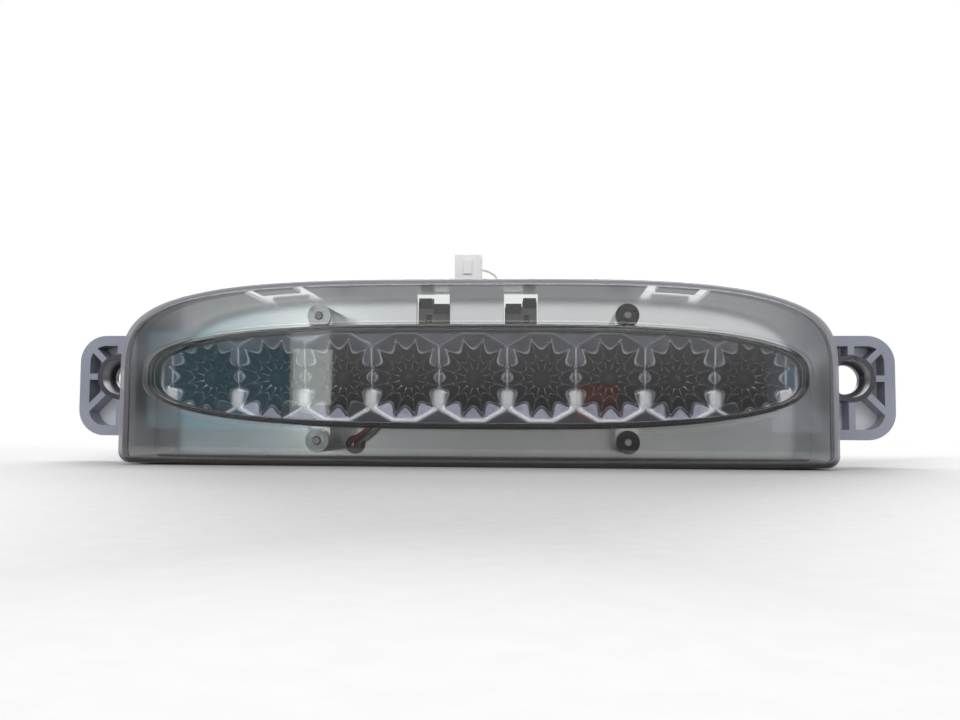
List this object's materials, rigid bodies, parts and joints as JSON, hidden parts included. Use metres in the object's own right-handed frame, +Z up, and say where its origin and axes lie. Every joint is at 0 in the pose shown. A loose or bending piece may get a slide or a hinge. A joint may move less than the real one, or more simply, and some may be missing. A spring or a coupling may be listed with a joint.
{
  "type": "third brake light",
  "caption": "High-mounted third brake light with a smoke lens, metallised tray, scalloped diode reflector, rear cover, short lead with connector and two screw ears.",
  "frame": {"origin": "half-way between the two ear screw axes, on the plane of the ears' flat back faces", "axes": "+X across the lamp, +Y from the lens towards the vehicle panel behind it, +Z up"},
  "size_m": [0.29, 0.0511, 0.076],
  "materials": {
    "smoke_lens": "smoke-tinted clear acrylic, polished",
    "adhesive": "cured adhesive bead",
    "metallised_tray": "vacuum-metallised plastic, slightly soft",
    "mirror_reflector": "bright vacuum-metallised scalloped cups",
    "circuit_board": "green solder mask",
    "clear_resin": "clear epoxy diode body",
    "resistor_body": "beige lacquer",
    "rectifier_body": "moulded black epoxy",
    "cover_plastic": "grey moulded plastic, fine texture",
    "screw_steel": "zinc-plated steel",
    "spring_steel": "blackened spring steel with bright edges",
    "connector_nylon": "natural white nylon",
    "terminal_brass": "stamped brass",
    "grommet_rubber": "moulded black rubber",
    "red_wire": "red insulation",
    "white_wire": "white insulation"
  },
  "bodies": {
    "root": {"lens_cover": "smoke_lens", "lens_bead": "adhesive", "housing_tray": "metallised_tray", "reflector": "mirror_reflector", "led_board": "circuit_board", "led_1": "clear_resin", "led_2": "clear_resin", "led_3": "clear_resin", "led_4": "clear_resin", "led_5": "clear_resin", "led_6": "clear_resin", "led_7": "clear_resin", "led_8": "clear_resin", "led_9": "clear_resin", "resistor_1": "resistor_body", "resistor_2": "resistor_body", "resistor_3": "resistor_body", "rectifier": "rectifier_body", "rear_cover": "cover_plastic", "cover_screw_1": "screw_steel", "cover_screw_2": "screw_steel", "cover_screw_3": "screw_steel", "cover_screw_4": "screw_steel", "spring_clip_left": "spring_steel", "spring_clip_right": "spring_steel", "connector_housing": "connector_nylon", "terminal_1": "terminal_brass", "terminal_2": "terminal_brass", "cable_grommet": "grommet_rubber", "lead_red": "red_wire", "lead_white": "white_wire"}
  },
  "joints": []
}
